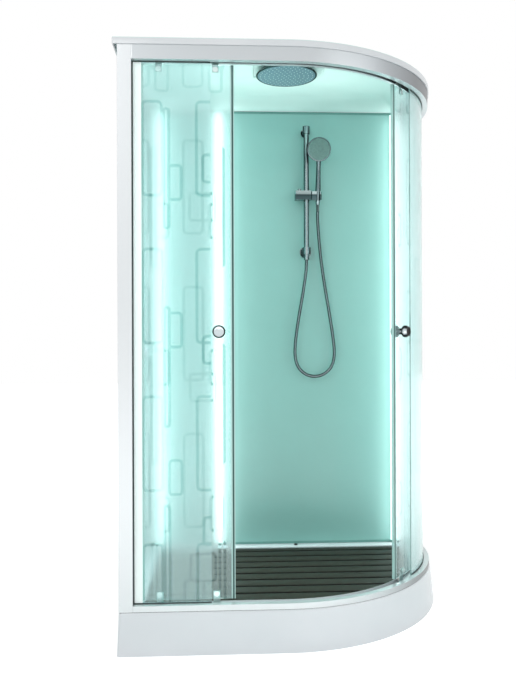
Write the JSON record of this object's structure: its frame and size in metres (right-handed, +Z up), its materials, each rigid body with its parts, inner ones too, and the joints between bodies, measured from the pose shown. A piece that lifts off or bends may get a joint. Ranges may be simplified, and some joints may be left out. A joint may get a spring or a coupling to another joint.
{
  "type": "steam shower cabin",
  "caption": "Quadrant shower cabin with a low tray, frosted glass front, sliding doors, roof with rain head and a handset on a riser rail.",
  "frame": {"origin": "on the floor under the middle of the cabin's bounding box", "axes": "+X to the right along the straight front, +Y from the front to the room's wall, +Z up"},
  "size_m": [1.29, 0.86, 2.232],
  "materials": {
    "white_acrylic": "glossy white acrylic",
    "painted_steel": "grey powder coat",
    "zinc_steel": "zinc plated",
    "grey_polypropylene": "moulded grey",
    "chrome_plate": "polished chrome plate",
    "brass_nickel": "nickel plated brass",
    "black_plastic": "moulded black",
    "dark_hardwood": "dark oiled slats",
    "black_rubber": "moulded",
    "satin_aluminium": "satin anodised",
    "mint_panel": "glossy mint panel",
    "light_diffuser": "milky diffuser",
    "light_strip": "white light strip",
    "mint_acrylic": "glossy pale mint acrylic",
    "teal_silicone": "soft nozzle face",
    "grey_silicone": "soft grey",
    "frosted_glass": "satin frosted aqua with clear line pattern",
    "dark_gasket": "dark extruded gasket",
    "clear_seal": "translucent PVC",
    "chromed_plastic": "chrome-plated plastic",
    "silver_hose": "smooth silver PVC",
    "white_nylon": "moulded nylon"
  },
  "bodies": {
    "cabin": {"tray_basin": "white_acrylic", "tray_frame": "painted_steel", "levelling_feet": "zinc_steel", "drain_trap": "grey_polypropylene", "drain_cover": "chrome_plate", "steam_outlet": "black_plastic", "bottom_rail": "satin_aluminium", "top_rail": "satin_aluminium", "left_post": "satin_aluminium", "rear_right_post": "satin_aluminium", "rear_corner_post": "satin_aluminium", "rear_wall_panel": "mint_panel", "left_wall_panel": "mint_panel", "wall_channels": "satin_aluminium", "light_covers": "light_diffuser", "light_strips": "light_strip", "roof_shell": "mint_acrylic", "rain_head": "chrome_plate", "rain_head_face": "teal_silicone", "rain_head_inlet": "brass_nickel", "left_fixed_pane": "frosted_glass", "right_fixed_pane": "frosted_glass", "left_pane_gasket": "dark_gasket", "right_pane_gasket": "dark_gasket", "riser_bar": "chrome_plate", "riser_top_fixing": "chrome_plate", "water_outlet": "chrome_plate", "outlet_hose_nut": "chrome_plate", "shower_hose": "silver_hose", "mixer_body": "chrome_plate"},
    "duckboard": {"duckboard_slats": "dark_hardwood", "duckboard_battens": "dark_hardwood", "duckboard_pads": "black_rubber"},
    "left_door": {"left_door_pane": "frosted_glass", "left_roller_brackets": "chrome_plate", "left_door_seals": "clear_seal", "left_outer_knob": "chrome_plate", "left_inner_knob": "chrome_plate"},
    "right_door": {"right_door_pane": "frosted_glass", "right_roller_brackets": "chrome_plate", "right_door_seals": "clear_seal", "right_outer_knob": "chrome_plate", "right_inner_knob": "chrome_plate"},
    "slider": {"rail_slider": "chrome_plate", "bend_sleeve": "grey_silicone"},
    "slider_clamp": {"clamp_knob": "chrome_plate"},
    "holder": {"handset_holder": "chromed_plastic"},
    "handset": {"handset_body": "chromed_plastic", "handset_face": "grey_silicone", "handset_hose_nut": "chrome_plate"},
    "temperature_control": {"temperature_handle": "chrome_plate"},
    "diverter": {"diverter_handle": "chrome_plate"},
    "left_wheel_front_low": {"left_wheel_front_low": "white_nylon"},
    "left_wheel_front_high": {"left_wheel_front_high": "white_nylon"},
    "left_wheel_rear_low": {"left_wheel_rear_low": "white_nylon"},
    "left_wheel_rear_high": {"left_wheel_rear_high": "white_nylon"},
    "right_wheel_front_low": {"right_wheel_front_low": "white_nylon"},
    "right_wheel_front_high": {"right_wheel_front_high": "white_nylon"},
    "right_wheel_rear_low": {"right_wheel_rear_low": "white_nylon"},
    "right_wheel_rear_high": {"right_wheel_rear_high": "white_nylon"}
  },
  "joints": [
    {"name": "left_door_slide", "type": "slide", "parent": "cabin", "child": "left_door", "axis": [1, 0, 0], "range_m": [0, 0.185]},
    {"name": "right_door_swing", "type": "hinge", "parent": "cabin", "child": "right_door", "pos_m": [-0.035, 0.25, 1.1], "axis": [0, 0, 1], "range_deg": [-42.45, 0]},
    {"name": "duckboard_lift", "type": "slide", "parent": "cabin", "child": "duckboard", "axis": [0, 0, 1], "range_m": [0, 0.25]},
    {"name": "slider_slide", "type": "slide", "parent": "cabin", "child": "slider", "axis": [0, 0, 1], "range_m": [-0.21, 0.15], "deforming": ["shower_hose"]},
    {"name": "clamp_turn", "type": "hinge", "parent": "slider", "child": "slider_clamp", "pos_m": [0.0885, 0.345, 1.773], "axis": [0, 0, 1], "range_deg": [0, 180]},
    {"name": "holder_tilt", "type": "hinge", "parent": "slider", "child": "holder", "pos_m": [0.148, 0.345, 1.748], "axis": [1, 0, 0], "range_deg": [-5, 20], "deforming": ["bend_sleeve"]},
    {"name": "handset_turn", "type": "hinge", "parent": "holder", "child": "handset", "pos_m": [0.173, 0.345, 1.748], "axis": [0, -0.1736, 0.9848], "range_deg": [-10, 60]},
    {"name": "temperature_turn", "type": "hinge", "parent": "cabin", "child": "temperature_control", "pos_m": [-0.565, -0.132, 1.05], "axis": [0, -1, 0], "range_deg": [-90, 90]},
    {"name": "diverter_turn", "type": "hinge", "parent": "cabin", "child": "diverter", "pos_m": [-0.565, 0.12, 1.05], "axis": [0, 1, 0], "range_deg": [0, 90]},
    {"name": "left_wheel_front_low_roll", "type": "hinge", "parent": "left_door", "child": "left_wheel_front_low", "pos_m": [-0.287, -0.359, 0.1603], "axis": [0, 1, 0], "range_deg": [-20, 980]},
    {"name": "left_wheel_front_high_roll", "type": "hinge", "parent": "left_door", "child": "left_wheel_front_high", "pos_m": [-0.287, -0.359, 2.0933], "axis": [0, 1, 0], "range_deg": [-20, 980]},
    {"name": "left_wheel_rear_low_roll", "type": "hinge", "parent": "left_door", "child": "left_wheel_rear_low", "pos_m": [-0.488, -0.359, 0.1603], "axis": [0, 1, 0], "range_deg": [-20, 980]},
    {"name": "left_wheel_rear_high_roll", "type": "hinge", "parent": "left_door", "child": "left_wheel_rear_high", "pos_m": [-0.488, -0.359, 2.0933], "axis": [0, 1, 0], "range_deg": [-20, 980]},
    {"name": "right_wheel_front_low_roll", "type": "hinge", "parent": "right_door", "child": "right_wheel_front_low", "pos_m": [0.42253, -0.15193, 0.1603], "axis": [-0.7513, 0.66, 0], "range_deg": [-2400, 20]},
    {"name": "right_wheel_front_high_roll", "type": "hinge", "parent": "right_door", "child": "right_wheel_front_high", "pos_m": [0.42253, -0.15193, 2.0933], "axis": [-0.7513, 0.66, 0], "range_deg": [-2400, 20]},
    {"name": "right_wheel_rear_low_roll", "type": "hinge", "parent": "right_door", "child": "right_wheel_rear_low", "pos_m": [0.57032, 0.18315, 0.1603], "axis": [-0.994, 0.1098, 0], "range_deg": [-2400, 20]},
    {"name": "right_wheel_rear_high_roll", "type": "hinge", "parent": "right_door", "child": "right_wheel_rear_high", "pos_m": [0.57032, 0.18315, 2.0933], "axis": [-0.994, 0.1098, 0], "range_deg": [-2400, 20]}
  ],
  "couplings": [
    {"joint": "left_wheel_front_low_roll", "follows": "left_door_slide", "rad_per_m": 90.909},
    {"joint": "left_wheel_front_high_roll", "follows": "left_door_slide", "rad_per_m": 90.909},
    {"joint": "left_wheel_rear_low_roll", "follows": "left_door_slide", "rad_per_m": 90.909},
    {"joint": "left_wheel_rear_high_roll", "follows": "left_door_slide", "rad_per_m": 90.909},
    {"joint": "right_wheel_front_low_roll", "follows": "right_door_swing", "ratio": 55.364},
    {"joint": "right_wheel_front_high_roll", "follows": "right_door_swing", "ratio": 55.364},
    {"joint": "right_wheel_rear_low_roll", "follows": "right_door_swing", "ratio": 55.364},
    {"joint": "right_wheel_rear_high_roll", "follows": "right_door_swing", "ratio": 55.364}
  ]
}
